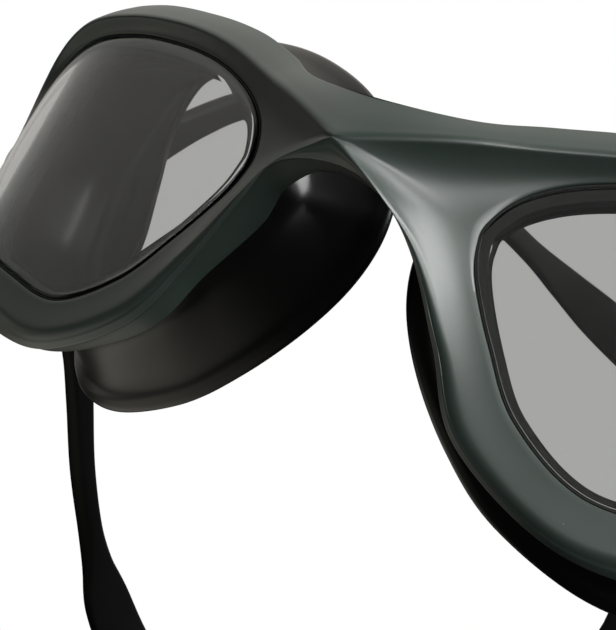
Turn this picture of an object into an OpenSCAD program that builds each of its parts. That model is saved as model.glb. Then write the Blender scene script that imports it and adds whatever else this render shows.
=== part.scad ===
// Swimming goggles with a sunglass-style front: one moulded frame over both eyes,
// two wrapped lenses, two soft eye cups, two side clips and a split head strap.
// The front looks along -Y, +X is the wearer's left, +Z is up.

/* [Front] */
// Half the distance between the two eye centres
eye_x = 40.6; // [39:0.1:43]
// Turn of each eye's front away from straight ahead, in degrees
wrap = 19.3; // [16:0.1:23]
// Length from the eye centre to where the lens starts to bend back
knee = 15; // [12:0.1:17]
// Half the length of the soft change from flat to bent
soft = 8; // [4:0.5:10]
// Radius of the lens and rim where they bend back to the temple
temple_r = 35; // [30:0.5:45]
// Width of a lens, measured along its face
lens_w = 60; // [56:0.5:63]
// Height of a lens
lens_h = 39.1; // [36:0.1:42]
// Depth of the rim behind the lens face
rim_depth = 4.2; // [3.9:0.1:5.5]
// How far the crossing brow lines stand ahead of the lens face at the bridge
bridge_rise = 5.6; // [5:0.1:8]
// How far the brow line stands ahead of the lens face
brow_rise = 2; // [1.2:0.1:3]

/* [Lens seat] */
// Thickness of a lens
lens_t = 2; // [1.6:0.1:2.3]
// Width of the soft seal round a lens
seal_w = 0.5; // [0.4:0.05:0.8]
// Clearance between pieces that lie against each other
seat_gap = 0.06; // [0.03:0.01:0.1]
// Width of the ledge that the lens rests on
ledge_w = 1.6; // [1.3:0.1:2.2]

/* [Eye cup] */
// Distance from the lens face back to the middle of the face flange
cup_depth = 16.6; // [15:0.1:20]
// Wall thickness of the cup
cup_wall = 1.3; // [1:0.1:1.8]
// Thickness of the flange at its lip
lip_t = 1.8; // [1.4:0.1:2.4]
// Depth of the ring that holds the cup in the frame
retainer_depth = 2; // [1.6:0.1:2.4]
// Wall of the ring that holds the cup in the frame
retainer_wall = 1; // [0.8:0.1:1.3]

/* [Side clip] */
// Thickness of the ear that carries the clip
ear_t = 3; // [2.4:0.1:3.6]
// How far the ear's inner face lies inside the temple edge of the rim
ear_inset = 2.94; // [1:0.01:3]
// Distance of the clip's pivot behind the temple edge
pivot_back = 4.76; // [0.5:0.01:5]
// Height of the clip's pivot
pivot_z = 2; // [0:0.1:4]
// Radius of the pivot stud's shank
stud_r = 2; // [1.6:0.1:2.4]
// Running clearance round the stud
run_gap = 0.05; // [0.03:0.01:0.1]
// Side play between ear, clip and washer
side_gap = 0.15; // [0.1:0.01:0.3]
// Thickness of the clip's plate
plate_t = 2.2; // [1.8:0.1:2.6]
// Height of the clip between the outer faces of its side walls
clip_h = 17; // [16:0.1:20]
// Thickness of the clip's side walls
side_t = 1.4; // [1.2:0.1:1.8]
// Length of the clip behind its pivot
clip_len = 16.6; // [16:0.1:18]
// Radius of the latch's hinge pin
pin_r = 0.8; // [0.6:0.05:1]
// Thickness of the latch
latch_t = 1.6; // [1.4:0.1:2]
// Radius of a peg that holds the strap
peg_r = 1.1; // [0.9:0.05:1.3]
// Distance between two pegs, and between two holes in the strap
peg_pitch = 4.4; // [4.2:0.1:4.8]

/* [Head strap] */
// Thickness of the flat parts of the strap
strap_t = 2; // [1.6:0.1:2.2]
// Thickness of the narrow necks of the strap
neck_t = 3; // [2.4:0.1:3.4]
// Height of the strap's end inside the clip
tongue_h = 11.6; // [10:0.1:12]
// Distance from the eye centres back to the middle of the strap
loop_y = 150; // [140:1:175]
// Length of the strap's straight run behind the clip
straight = 50; // [40:1:60]

/* [Hidden] */
$fn = 48;

rim_green = [0.23, 0.27, 0.24];
lens_grey = [0.5, 0.5, 0.5, 0.45];
soft_black = [0.08, 0.08, 0.08];
dark_grey = [0.2, 0.21, 0.22];
clip_black = [0.12, 0.12, 0.13];
steel = [0.7, 0.7, 0.72];

// The outlines are drawn for a lens of this size and stretch with the real one
drawn_w = 60;
drawn_h = 39.1;
su = lens_w / drawn_w;
sv = lens_h / drawn_h;
// Points between two drawn points of an outline
steps = 3;

// Length along the face from the eye centre to the centre plane, at a depth w ahead of the lens face
function mid_u(w) = -(eye_x + w * sin(wrap)) / cos(wrap);

// Lens outline, from the nose over the brow to the temple and back below, as
// [outward, up], both along the face from the eye centre
lens_pts = [for (p = [[-26.3, 2.6], [-23.9, 7], [-18.5, 11.2], [-10, 14.9], [0, 17.2], [11, 18.2],
    [22, 17], [30.5, 11.5], [33.5, 2], [30, -8], [20.5, -14.8], [8, -18.8], [-4, -20.9],
    [-14, -16.7], [-20, -10.3], [-24.6, -4.1], [-26.2, -0.4]]) [p[0] * su, p[1] * sv]];

// Front edge of the rim beside those points, as [outward, up, ahead of the lens face]:
// the brow lines, their crossing on the centre plane, and the rounded lower edge
edge_pts = [[mid_u(bridge_rise), 2.6 * sv, bridge_rise], [-33 * su, 8 * sv, brow_rise + 3.1],
    [-24.3 * su, 11.6 * sv, brow_rise + 1.4], [-12.5 * su, 16.3 * sv, brow_rise + 0.2],
    [-1 * su, 19 * sv, brow_rise], [11 * su, 19.9 * sv, brow_rise], [22.5 * su, 18.6 * sv, brow_rise - 0.1],
    [32 * su, 12.8 * sv, brow_rise * 0.5], [36 * su, 2.5 * sv, 0], [33 * su, -10 * sv, -0.3],
    [23 * su, -18.5 * sv, 0], [9.5 * su, -22.9 * sv, 0.3], [-4 * su, -24.9 * sv, 0.4],
    [-17 * su, -19.3 * sv, 0.5], [-23.8 * su, -11.9 * sv, 1.1], [-30.1 * su, -4.4 * sv, 3.1],
    [-37.9 * su, -0.8 * sv, bridge_rise - 0.1], [mid_u(bridge_rise), 2.6 * sv, bridge_rise]];

// Outer edge of the front, beside the same points
outer_pts = [[mid_u(1.6), 10.2 * sv, 1.6], [-32.2 * su, 12.2 * sv, 1.9], [-24.3 * su, 15.9 * sv, 0],
    [-14 * su, 20 * sv, -1.2], [-2 * su, 22.9 * sv, -2], [11.5 * su, 24.3 * sv, -2], [25 * su, 22.6 * sv, -1.8],
    [35.5 * su, 15.5 * sv, -1.8], [39.2 * su, 3 * sv, -2], [36 * su, -11.5 * sv, -2],
    [25.3 * su, -20.9 * sv, -1.8], [10.5 * su, -25.4 * sv, -1.7], [-4 * su, -26.2 * sv, -1.6],
    [-18.6 * su, -20.1 * sv, -1], [-25.6 * su, -12.6 * sv, 0.1], [-31.5 * su, -4.6 * sv, 2.6],
    [-37.6 * su, -1 * sv, bridge_rise - 0.8], [mid_u(3), 0.6 * sv, 3]];

// Rear edge of the rim's side wall, beside the same points; the bridge is thinner than the rim
rear_pts = [[mid_u(-1.5), 9.6 * sv, -1.5], [-32.8 * su, 11.4 * sv, -3.4],
    [-24.5 * su, 15.1 * sv, -rim_depth], [-13.8 * su, 19.2 * sv, -rim_depth], [-2 * su, 22.1 * sv, -rim_depth],
    [11.3 * su, 23.5 * sv, -rim_depth], [24.5 * su, 21.8 * sv, -rim_depth], [34.8 * su, 15 * sv, -rim_depth],
    [38.4 * su, 3 * sv, -rim_depth], [35.3 * su, -11.2 * sv, -rim_depth], [24.8 * su, -20.3 * sv, -rim_depth],
    [10.2 * su, -24.6 * sv, -rim_depth], [-4 * su, -25.4 * sv, -rim_depth], [-19.1 * su, -19.6 * sv, -rim_depth],
    [-23.8 * su, -12.3 * sv, -rim_depth], [-28.8 * su, -4.6 * sv, -rim_depth], [-34 * su, -0.9 * sv, -1.1],
    [mid_u(0.3), 0.9 * sv, 0.3]];

// Lip of the cup's flange beside the lens points, as [outward, up]
flange_pts = [for (p = [[-34.7, 3.5], [-32.2, 11.2], [-24.8, 18.6], [-14.8, 23.3], [-3, 26.2], [9.5, 27],
    [22.5, 24.2], [30, 15], [32, 3], [28.5, -9.5], [20.3, -19.5], [11, -25.3], [0, -27.1],
    [-12.6, -24.2], [-21.2, -18.9], [-28.7, -11.6], [-33.4, -4.1]]) [p[0] * su, p[1] * sv]];

// Inner edge of the flange: narrow at the brow, wide at the temple
inner_pts = [for (p = [[-29, 2.5], [-26, 8.3], [-19.5, 13.8], [-11.3, 18.2], [-2, 21.2], [8.5, 22.2],
    [16.8, 20.6], [18.8, 14], [15.3, 5.5], [12, -3], [11.5, -11], [6, -18], [-1, -20.6], [-10, -18.3],
    [-16.2, -14.5], [-22.8, -8.5], [-27.6, -2.8]]) [p[0] * su, p[1] * sv]];

function spline(a, b, c, d, t) =
    0.5 * (2 * b + (c - a) * t + (2 * a - 5 * b + 4 * c - d) * t * t + (3 * b - a - 3 * c + d) * t * t * t);

// Smooth closed line through the points
function closed_line(p, m = steps) = let(n = len(p))
    [for (i = [0:n - 1], j = [0:m - 1])
        spline(p[(i + n - 1) % n], p[i], p[(i + 1) % n], p[(i + 2) % n], j / m)];

// Smooth open line through the points, ends included; level means that it meets its mirror image without a corner
function past_centre(end, next) = [2 * end[0] - next[0], next[1], next[2] - 2 * tan(wrap) * (next[0] - end[0])];
function open_line(p, m = steps, level = false) = let(n = len(p),
    first = level ? past_centre(p[0], p[1]) : 2 * p[0] - p[1],
    last = level ? past_centre(p[n - 1], p[n - 2]) : 2 * p[n - 1] - p[n - 2])
    concat([for (i = [0:n - 2], j = [0:m - 1])
        spline(i == 0 ? first : p[i - 1], p[i], p[i + 1], i == n - 2 ? last : p[i + 2], j / m)], [p[n - 1]]);

// A closed line moved outwards by d
function outset(p, d) = let(n = len(p))
    [for (i = [0:n - 1]) let(t = p[(i + 1) % n] - p[(i + n - 1) % n]) p[i] + [-t[1], t[0]] / norm(t) * d];

// Direction of the wrapped face at a length u from the eye centre, and the way gone along it
function turn(u) = wrap + 180 / PI / temple_r *
    (u < knee - soft ? 0 : u < knee + soft ? pow(u - knee + soft, 2) / 4 / soft : u - knee);
function dir(u) = [cos(turn(u)), sin(turn(u))];
function along(u) = let(a = knee - soft, b = min(max(u, a), knee + soft), h = (b - a) / 4)
    dir(0) * min(u, a) + h / 3 * (dir(a) + 4 * dir(a + h) + 2 * dir(a + 2 * h) + 4 * dir(a + 3 * h) + dir(b))
    + (u > knee + soft ? temple_r * [sin(turn(u)) - sin(turn(b)), cos(turn(b)) - cos(turn(u))] : [0, 0]);

// A point of the wrapped face: outward, up, ahead of the lens face
function on_face(u, v, w) = let(g = along(u), d = dir(u), x = eye_x + g[0] + w * d[1])
    [abs(x) < 1e-6 ? 0 : x, g[1] - w * d[0], v];

// A point of the flat frame of one eye
function at_eye(u, v, w) = [eye_x + u * cos(wrap) + w * sin(wrap), u * sin(wrap) - w * cos(wrap), v];

function face_line(p, w) = [for (q = p) on_face(q[0], q[1], w)];
function face_line3(p) = [for (q = p) on_face(q[0], q[1], q[2])];
function blend(a, b, t) = [for (i = [0:len(a) - 1]) a[i] * (1 - t) + b[i] * t];

lens_line = closed_line(lens_pts);
n_st = len(lens_line);

function flat(rows) = [for (r = rows) for (p = r) p];
function quad(a, b, c, d) = [[a, b, c], [a, c, d]];

// Closed ring through loops of points that each run round the eye
module ring(loops) {
    m = len(loops);
    n = len(loops[0]);
    faces = [for (k = [0:m - 1], i = [0:n - 1]) let(a = k * n, b = (k + 1) % m * n, j = (i + 1) % n)
        each quad(a + i, b + i, b + j, a + j)];
    polyhedron(flat(loops), faces, convexity = 6);
}

module pair(side) {
    mirror([side < 0 ? 1 : 0, 0, 0]) children();
}

// Half of the frame: the face loops close round the lens, the outer ones stop on the centre plane
edge_line = open_line(edge_pts);
function near_edge(i, k) = let(n = n_st) edge_line[(i + k + n) % n];
function soft_edge(i) = (near_edge(i, -2) + near_edge(i, -1) + near_edge(i, 0) + near_edge(i, 1) + near_edge(i, 2)) / 5;
closed_front = [face_line(lens_line, 0),
    [for (i = [0:n_st - 1]) let(l = lens_line[i], e = soft_edge(i))
        on_face(l[0] * 0.45 + e[0] * 0.55, l[1] * 0.45 + e[1] * 0.55, e[2] * 0.38)],
    [for (i = [0:n_st - 1]) let(e = edge_line[i]) on_face(e[0], e[1], e[2])]];
open_side = [face_line3(open_line(outer_pts, level = true)), face_line3(open_line(rear_pts, level = true))];
ledge_z = -lens_t - seat_gap;
closed_rear = [face_line(outset(lens_line, 1.2), -rim_depth), face_line(outset(lens_line, -ledge_w), -rim_depth),
    face_line(outset(lens_line, -ledge_w), ledge_z), face_line(lens_line, ledge_z)];

function strip(a, b, n, shut) = [for (i = [0:n - 1]) each quad(a + i, b + i,
    b + (shut[1] ? (i + 1) % n : i + 1), a + (shut[0] ? (i + 1) % n : i + 1))];

module frame_shell() {
    n = n_st;
    pts = concat(flat(closed_front), flat(open_side), flat(closed_rear));
    o = 3 * n;
    r = o + 2 * (n + 1);
    half = concat(strip(0, n, n, [true, true]), strip(n, 2 * n, n, [true, true]),
        strip(2 * n, o, n, [true, false]), strip(o, o + n + 1, n, [false, false]),
        strip(o + n + 1, r, n, [false, true]), [[o + n + 1 + n, r, o + n + 1]],
        strip(r, r + n, n, [true, true]), strip(r + n, r + 2 * n, n, [true, true]),
        strip(r + 2 * n, r + 3 * n, n, [true, true]), strip(r + 3 * n, 0, n, [true, true]));
    // The other half shares the points of the centre plane
    total = len(pts);
    other = [for (f = half) [for (k = [2, 1, 0]) pts[f[k]][0] == 0 ? f[k] : f[k] + total]];
    polyhedron(concat(pts, [for (p = pts) [-p[0], p[1], p[2]]]), concat(half, other), convexity = 8);
}

temple_edge = on_face(39.2 * su, 0, -2);
ear_x = temple_edge[0] - ear_inset;
pivot_y = temple_edge[1] + pivot_back;
clip_x = ear_x + ear_t + side_gap;
plate_x = clip_x + plate_t;

module ear() {
    front = on_face(37.4 * su, 0, -2.2)[1];
    translate([ear_x, 0, 0]) rotate([90, 0, 90]) linear_extrude(ear_t) hull() {
        translate([pivot_y, pivot_z]) circle(r = 6);
        translate([front, pivot_z - 7]) square([1, 14]);
    }
}

module front_frame() {
    color(rim_green) difference() {
        union() {
            frame_shell();
            ear();
            mirror([1, 0, 0]) ear();
        }
        for (s = [-1, 1])
            translate([s * (ear_x - 4), pivot_y, pivot_z]) rotate([0, s * 90, 0])
                cylinder(r = stud_r + run_gap, h = ear_t + 8);
    }
}

lens_edge = outset(lens_line, -seal_w - 2 * seat_gap);
lens_mid = [2, -1];
lens_rings = [1, 0.93, 0.78, 0.52, 0.26];

module lens(side) {
    n = n_st;
    loops = concat([for (s = lens_rings) face_line([for (q = lens_edge) lens_mid + (q - lens_mid) * s], 0)],
        [for (s = lens_rings) face_line([for (q = lens_edge) lens_mid + (q - lens_mid) * s], -lens_t)]);
    m = len(lens_rings);
    c = 2 * m * n;
    faces = concat(
        [for (k = [0:m - 2]) each strip(k * n + n, k * n, n, [true, true])],
        [for (k = [m:2 * m - 2]) each strip(k * n, k * n + n, n, [true, true])],
        strip(0, m * n, n, [true, true]),
        [for (i = [0:n - 1]) [c, (m - 1) * n + i, (m - 1) * n + (i + 1) % n]],
        [for (i = [0:n - 1]) [c + 1, (2 * m - 1) * n + (i + 1) % n, (2 * m - 1) * n + i]]);
    color(lens_grey) pair(side)
        polyhedron(concat(flat(loops), [on_face(lens_mid[0], lens_mid[1], 0), on_face(lens_mid[0], lens_mid[1], -lens_t)]),
            faces, convexity = 4);
}

module lens_seal(side) {
    a = outset(lens_line, -seat_gap);
    b = outset(lens_line, -seat_gap - seal_w);
    color(soft_black) pair(side)
        ring([face_line(b, -0.25), face_line(a, -0.25), face_line(a, -lens_t), face_line(b, -lens_t)]);
}

retainer_back = -rim_depth - seat_gap - retainer_depth;

module cup_retainer(side) {
    a = outset(lens_line, -0.3);
    b = outset(lens_line, -0.3 - retainer_wall);
    color(dark_grey) pair(side)
        ring([face_line(b, -rim_depth - seat_gap), face_line(a, -rim_depth - seat_gap),
            face_line(a, retainer_back), face_line(b, retainer_back)]);
}

// The flange leans back to the temple and forward at the brow, as a face does
function flange_w_at(u, v) = -cup_depth - (u > 0 ? 0.0066 : 0.0026) * u * u - 0.09 * u + 0.1 * v;
flange_line = closed_line(flange_pts);
function flange_at(p, back) = [for (q = p) at_eye(q[0], q[1], flange_w_at(q[0], q[1]) - back)];
function flange_loop(d, back) = flange_at(outset(flange_line, d), back);
function inner_loop(back) = flange_at(closed_line(inner_pts), back);

module eye_cup(side) {
    front = -rim_depth - seat_gap;
    neck_out = outset(lens_line, cup_wall + seat_gap - 0.3);
    neck_in = outset(lens_line, seat_gap - 0.3);
    groove = retainer_back - seat_gap;
    neck = face_line(neck_out, groove - 1.2);
    throat = face_line(outset(lens_line, -0.9), groove - 1.6);
    loops = [face_line(neck_out, front), neck, blend(neck, flange_loop(-5, -4.4), 0.55),
        flange_loop(-2.8, -2.4), flange_loop(0, -lip_t * 0.3), flange_loop(-0.4, lip_t * 0.3),
        flange_loop(-2, lip_t * 0.5), inner_loop(lip_t * 0.3), inner_loop(-lip_t * 0.3),
        blend(inner_loop(-lip_t * 0.8), flange_loop(-5.2, -lip_t * 0.8), 0.8),
        blend(throat, flange_loop(-6.6, -3.6), 0.6), throat,
        face_line(outset(lens_line, -0.9), groove), face_line(neck_in, groove), face_line(neck_in, front)];
    color(soft_black) pair(side) ring([for (i = [len(loops) - 1:-1:0]) loops[i]]);
}

stud_head_t = 1;
washer_t = 0.8;
washer_r = 3.4;

module pivot_stud(side) {
    color(steel) pair(side) translate([0, pivot_y, pivot_z]) rotate([0, 90, 0]) union() {
        translate([0, 0, ear_x - stud_head_t - seat_gap]) cylinder(r = stud_r + 1.4, h = stud_head_t);
        translate([0, 0, ear_x - stud_head_t]) cylinder(r = stud_r, h = plate_x + side_gap - ear_x + stud_head_t);
        translate([0, 0, plate_x + side_gap]) cylinder(r = stud_r - 0.3, h = washer_t);
        translate([0, 0, plate_x + side_gap + washer_t]) cylinder(r1 = stud_r, r2 = stud_r - 0.3, h = 0.5);
    }
}

module stud_washer(side) {
    color(steel) pair(side) translate([plate_x + side_gap * 0.6, pivot_y, pivot_z]) rotate([0, 90, 0]) difference() {
        cylinder(r = washer_r, h = washer_t);
        translate([0, 0, -1]) cylinder(r = stud_r + run_gap, h = washer_t + 2);
    }
}

hinge_y = pivot_y + 5.6;
hinge_x = plate_x + strap_t * 0.5 + 1.2;
first_peg_y = hinge_y + 4.3;
clip_end = pivot_y + clip_len;
cover_x = plate_x + strap_t + 0.35;

module strap_clip(side) {
    color(clip_black) pair(side) difference() {
        union() {
            translate([clip_x, 0, 0]) rotate([90, 0, 90]) linear_extrude(plate_t) hull() {
                translate([pivot_y, pivot_z]) circle(r = 6);
                translate([clip_end - 3, pivot_z - clip_h / 2 + 2]) circle(r = 2);
                translate([clip_end - 3, pivot_z + clip_h / 2 - 2]) circle(r = 2);
                translate([hinge_y - 2, pivot_z - clip_h / 2]) square([1, clip_h]);
            }
            for (s = [-1, 1])
                translate([clip_x, 0, pivot_z + s * (clip_h - side_t) / 2 - side_t / 2]) linear_extrude(side_t) hull() {
                    translate([0, hinge_y - 2]) square([1, 2]);
                    translate([hinge_x - clip_x, hinge_y]) circle(r = 1.9);
                    translate([cover_x - clip_x - 0.6, clip_end - 2.4]) circle(r = 0.9);
                    translate([0, clip_end - 2]) square([1, 1]);
                }
            for (k = [0:1])
                translate([plate_x - 0.5, first_peg_y + k * peg_pitch, pivot_z]) rotate([0, 90, 0])
                    cylinder(r = peg_r, h = strap_t + 1.3);
        }
        translate([clip_x - 1, pivot_y, pivot_z]) rotate([0, 90, 0]) cylinder(r = stud_r + run_gap, h = plate_t + 2);
        translate([hinge_x, hinge_y, pivot_z - clip_h]) cylinder(r = pin_r, h = 2 * clip_h, $fn = 32);
    }
}

latch_h = clip_h - 2 * side_t - 2 * side_gap;

module clip_latch(side) {
    tail = clip_end + 1.6;
    color(clip_black) pair(side) difference() {
        union() {
            translate([hinge_x, hinge_y, pivot_z - latch_h / 2]) cylinder(r = 1.9, h = latch_h, $fn = 32);
            translate([cover_x, hinge_y, pivot_z - latch_h / 2]) cube([latch_t, tail - hinge_y - 1, latch_h]);
            translate([cover_x + latch_t * 0.65, tail - 1, pivot_z - latch_h / 2])
                cylinder(r = latch_t * 0.65, h = latch_h, $fn = 32);
        }
        translate([hinge_x, hinge_y, pivot_z - latch_h]) cylinder(r = pin_r + run_gap, h = 2 * latch_h, $fn = 32);
        for (k = [0:1])
            translate([cover_x - 0.5, first_peg_y + k * peg_pitch, pivot_z]) rotate([0, 90, 0])
                cylinder(r = peg_r + 0.25, h = 1.2);
        for (k = [0:3])
            translate([cover_x + latch_t, first_peg_y + 1 + k * 2, pivot_z - latch_h])
                cylinder(r = 0.4, h = 2 * latch_h, $fn = 16);
    }
}

module latch_pin(side) {
    color(steel) pair(side) translate([hinge_x, hinge_y, pivot_z - clip_h / 2 - 0.3])
        cylinder(r = pin_r - 0.01, h = clip_h + 0.6, $fn = 32);
}

// The strap lies on a head-shaped loop: straight from the clip, then half an ellipse
strap_x = plate_x + strap_t / 2;
loop_start = pivot_y + 14;
bend_y = loop_start + straight;
loop_depth = loop_y - bend_y;
quarter = PI / 4 * (3 * (strap_x + loop_depth) - sqrt((3 * strap_x + loop_depth) * (strap_x + 3 * loop_depth)));
loop_len = straight + quarter;

// A point of the strap: along the loop, up, out from the middle of its thickness
function on_loop(s, z, x) = s >= loop_len - 1e-6 ? [0, loop_y + x, z] : s <= straight ? [strap_x + x, loop_start + s, z] :
    let(a = (s - straight) / quarter * 90, n = [cos(a) / strap_x, sin(a) / loop_depth], m = norm(n))
    [strap_x * cos(a) + x * n[0] / m, bend_y + loop_depth * sin(a) + x * n[1] / m, z];

// Middle lines of the two strands, each from the clip to the back, as [along, up, width, thickness]
upper_pts = [[6, 12.6, 8, strap_t], [12, 21, 6.4, 2.2], [20, 31, 5.2, 2.8], [29, 39.5, 4.6, neck_t], [45, 49.5, 4.4, neck_t],
    [65, 56, 4.4, neck_t], [84, 58, 4.4, neck_t], [98, 56.4, 4.4, neck_t], [108, 53.8, 4.6, 2.8], [116, 51.2, 6.6, strap_t],
    [124, 48.3, 8.6, strap_t], [133, 45, 9.6, strap_t], [142, 41.5, 10, strap_t]];
lower_pts = [[9.5, -6.8, 7.4, strap_t], [18, -12.3, 6, 2.2], [25.5, -18.7, 5, 2.8], [35, -27, 4.5, neck_t],
    [45.5, -34.4, 4.4, neck_t], [52.5, -38.6, 6.2, 2.4], [60.5, -43, 9.2, strap_t], [78, -51, 9.8, strap_t], [102, -54.6, 9.8, strap_t],
    [119, -53.6, 9.8, strap_t], [133, -46.5, 9.8, strap_t], [143, -35, 9.8, strap_t], [149.6, -20, 9.4, strap_t],
    [151.4, -5, 9, strap_t]];

function side_step(p, i, sgn) = let(a = p[max(i - 1, 0)], b = p[min(i + 1, len(p) - 1)],
    t = [b[0] - a[0], b[1] - a[1]]) [-t[1], t[0]] / norm(t) * p[i][2] / 2 * sgn;

// One row for each place round the slit: slit edge, outer edge, thickness
function strand_rows(p, sgn) = [for (i = [0:len(p) - 1]) let(c = [p[i][0], p[i][1]], d = side_step(p, i, sgn))
    [c - d, c + d, p[i][3]]];
tongue_tip = first_peg_y - 2.2 - loop_start;
tongue_top = pivot_z + tongue_h / 2;
tongue_low = pivot_z - tongue_h / 2;
crotch = [5.6, 2.6];
upper_fine = open_line(upper_pts, 2);
lower_fine = open_line(lower_pts, 2);
function backwards(p) = [for (i = [len(p) - 1:-1:0]) p[i]];
strap_rows = concat([[[loop_len - 9, 31], [loop_len, 42.5], strap_t]],
    backwards(strand_rows(upper_fine, 1)),
    [[crotch + [0.7, 2.6], [2.4, tongue_top + 1.6], strap_t], [crotch + [0, 1.4], [0, tongue_top], strap_t],
    [crotch + [-0.3, 0.8], [tongue_tip, tongue_top], strap_t], [crotch + [-0.5, 0], [tongue_tip, pivot_z], strap_t],
    [crotch + [-0.3, -0.8], [tongue_tip, tongue_low], strap_t], [crotch + [0, -1.4], [0, tongue_low], strap_t],
    [crotch + [0.8, -2.6], [2.6, tongue_low - 0.9], strap_t]],
    strand_rows(lower_fine, -1),
    [[[loop_len - 9, 31], [loop_len, -7], strap_t]]);

module strap_band() {
    n = len(strap_rows) - 1;
    function dir(i) = let(d = strap_rows[i][1] - strap_rows[i][0]) d / norm(d);
    function cut(i) = strap_rows[i][2] * 0.34;
    // Slit side loops close round the slit, outer ones stop at the middle of the back
    function slit(i, inset, x) = let(p = strap_rows[i][0] + (i == 0 ? [1, 0] : dir(i)) * inset) on_loop(p[0], p[1], x);
    function rim(i, inset, x) = let(d = i == 0 ? [0, 1] : i == n ? [0, -1] : dir(i), p = strap_rows[i][1] - d * inset)
        on_loop(p[0], p[1], x);
    function half_t(i) = strap_rows[i][2] / 2;
    slits = [for (k = [[1, 0], [1, 1], [-1, 1], [-1, 0]])
        [for (i = [0:n - 1]) slit(i, k[1] * cut(i), k[0] * (half_t(i) - (1 - k[1]) * cut(i)))]];
    rims = [for (k = [[1, 1], [1, 0], [-1, 0], [-1, 1]])
        [for (i = [0:n]) rim(i, k[1] * cut(i), k[0] * (half_t(i) - (1 - k[1]) * cut(i)))]];
    pts = concat(flat(slits), flat(rims));
    r = 4 * n;
    q = n + 1;
    half = concat(strip(0, n, n, [true, true]), strip(n, r, n, [true, false]), [[r + n, n, r]],
        strip(r, r + q, n, [false, false]), strip(r + q, r + 2 * q, n, [false, false]),
        strip(r + 2 * q, r + 3 * q, n, [false, false]), strip(r + 3 * q, 2 * n, n, [false, true]),
        [[2 * n, r + 3 * q + n, r + 3 * q]],
        strip(2 * n, 3 * n, n, [true, true]), strip(3 * n, 0, n, [true, true]));
    total = len(pts);
    other = [for (f = half) [for (k = [2, 1, 0]) pts[f[k]][0] == 0 ? f[k] : f[k] + total]];
    polyhedron(concat(pts, [for (p = pts) [-p[0], p[1], p[2]]]), concat(half, other), convexity = 12);
}

module head_strap() {
    color(soft_black) difference() {
        strap_band();
        for (s = [-1, 1], k = [0:1])
            translate([s * strap_x, first_peg_y + k * peg_pitch, pivot_z]) rotate([0, 90, 0])
                cylinder(r = peg_r + 0.3, h = 3 * strap_t, center = true);
    }
}

front_frame();
lens(1);  // left_lens
lens(-1);  // right_lens
lens_seal(1);  // left_lens_seal
lens_seal(-1);  // right_lens_seal
cup_retainer(1);  // left_cup_retainer
cup_retainer(-1);  // right_cup_retainer
eye_cup(1);  // left_eye_cup
eye_cup(-1);  // right_eye_cup
pivot_stud(1);  // left_pivot_stud
pivot_stud(-1);  // right_pivot_stud
stud_washer(1);  // left_stud_washer
stud_washer(-1);  // right_stud_washer
strap_clip(1);  // left_strap_clip
strap_clip(-1);  // right_strap_clip
clip_latch(1);  // left_clip_latch
clip_latch(-1);  // right_clip_latch
latch_pin(1);  // left_latch_pin
latch_pin(-1);  // right_latch_pin
head_strap();
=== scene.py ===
import bpy
import math
import numpy as np
from mathutils import Matrix, Vector


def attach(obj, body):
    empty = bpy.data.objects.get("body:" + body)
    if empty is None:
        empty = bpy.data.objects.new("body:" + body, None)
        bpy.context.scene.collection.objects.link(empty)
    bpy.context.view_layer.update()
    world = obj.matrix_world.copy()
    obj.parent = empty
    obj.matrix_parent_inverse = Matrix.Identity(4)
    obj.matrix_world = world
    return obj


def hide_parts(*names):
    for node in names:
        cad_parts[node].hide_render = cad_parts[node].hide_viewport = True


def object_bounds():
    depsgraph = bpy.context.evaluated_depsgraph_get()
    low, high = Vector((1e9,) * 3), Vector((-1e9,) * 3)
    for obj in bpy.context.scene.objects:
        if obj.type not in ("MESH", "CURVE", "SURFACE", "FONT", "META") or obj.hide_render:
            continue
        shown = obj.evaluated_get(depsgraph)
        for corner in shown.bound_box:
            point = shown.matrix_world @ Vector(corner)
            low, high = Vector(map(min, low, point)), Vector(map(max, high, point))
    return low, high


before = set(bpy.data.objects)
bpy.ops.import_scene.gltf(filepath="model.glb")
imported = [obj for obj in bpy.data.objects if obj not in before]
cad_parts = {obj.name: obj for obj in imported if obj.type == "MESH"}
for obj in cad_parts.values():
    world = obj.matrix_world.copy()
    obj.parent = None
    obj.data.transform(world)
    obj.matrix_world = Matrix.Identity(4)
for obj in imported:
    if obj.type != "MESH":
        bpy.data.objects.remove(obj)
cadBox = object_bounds()
mm = 0.001
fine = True
print("frame loaded")


camera = {"azimuth": 31.43, "elevation": -13.84, "roll": 27.69, "distance": 231.87, "aimX": -4.29, "aimZ": -11.56,
          "focalPixels": 2000, "imageHeight": 630, "sensor": 36}


def makeCamera(c):
    az, el, ro = (math.radians(c[k]) for k in ("azimuth", "elevation", "roll"))
    back = Vector((math.sin(az) * math.cos(el), -math.cos(az) * math.cos(el), math.sin(el)))
    right = Vector((math.cos(az), math.sin(az), 0))
    up = back.cross(right)
    camX = right * math.cos(ro) + up * math.sin(ro)
    camY = up * math.cos(ro) - right * math.sin(ro)
    place = (back * c["distance"] + Vector((c["aimX"], 0, c["aimZ"]))) * mm
    data = bpy.data.cameras.new("camera")
    data.sensor_width = c["sensor"]
    data.lens = c["focalPixels"] * c["sensor"] / c["imageHeight"]
    data.clip_start = 0.01
    data.clip_end = 20
    obj = bpy.data.objects.new("camera", data)
    obj.matrix_world = Matrix.Translation(place) @ Matrix((camX, camY, back)).transposed().to_4x4()
    bpy.context.scene.collection.objects.link(obj)
    bpy.context.scene.camera = obj


makeCamera(camera)
print("camera placed")


# The wrapped face that all front pieces lie on: flat at the nose, bent back at the temple
face = {"eyeX": 40.6, "wrap": 19.3, "knee": 15, "soft": 8, "templeR": 35}
wrap = math.radians(face["wrap"])


def midU(w):  # length along the face from the eye centre to the centre plane
    return -(face["eyeX"] + w * math.sin(wrap)) / math.cos(wrap)


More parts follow.
